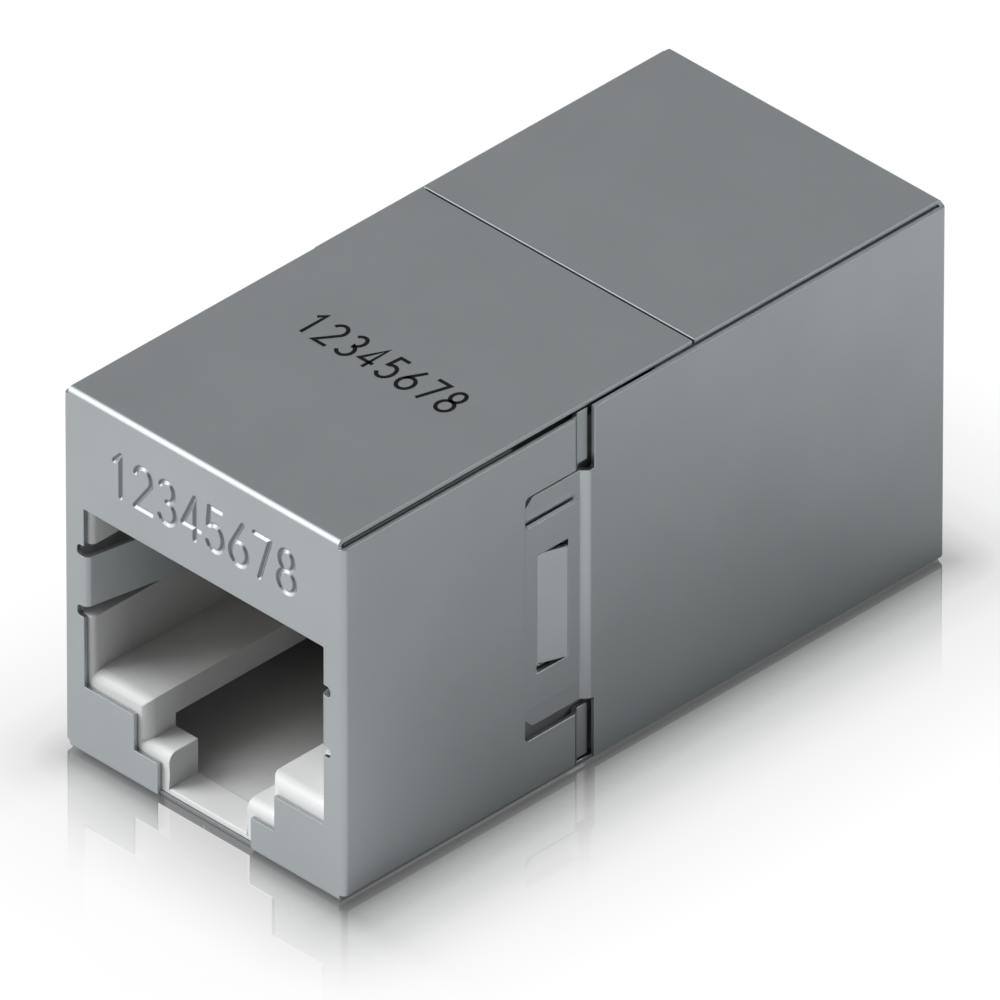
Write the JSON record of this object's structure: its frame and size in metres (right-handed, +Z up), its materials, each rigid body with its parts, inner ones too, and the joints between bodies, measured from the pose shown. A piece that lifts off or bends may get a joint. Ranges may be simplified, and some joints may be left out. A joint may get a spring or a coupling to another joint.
{
  "type": "rj45 inline coupler",
  "caption": "Shielded inline coupler with a folded-metal body and a modular data socket at each end, which joins two network cords end to end.",
  "frame": {"origin": "centre of the footprint, on the base, under the middle of the coupler's length", "axes": "+Y along the coupler from the front port to the rear port, +Z up, +X to the right for someone who looks into the front port"},
  "size_m": [0.0148, 0.0312, 0.016],
  "materials": {
    "shield": "satin nickel plate on sheet metal",
    "housing": "moulded white plastic, fine satin",
    "carrier": "moulded off-white plastic",
    "contact": "gold plate on spring wire",
    "board": "green solder mask on glass-fibre board",
    "ink": "black print on the shield"
  },
  "bodies": {
    "root": {"circuit_board": "board", "front_contact_1": "contact", "front_contact_2": "contact", "front_contact_3": "contact", "front_contact_4": "contact", "front_contact_5": "contact", "front_contact_6": "contact", "front_contact_7": "contact", "front_contact_8": "contact", "front_contact_carrier": "carrier", "front_housing": "housing", "front_shell": "shield", "rear_contact_1": "contact", "rear_contact_2": "contact", "rear_contact_3": "contact", "rear_contact_4": "contact", "rear_contact_5": "contact", "rear_contact_6": "contact", "rear_contact_7": "contact", "rear_contact_8": "contact", "rear_contact_carrier": "carrier", "rear_housing": "housing", "rear_shell": "shield"}
  },
  "joints": []
}
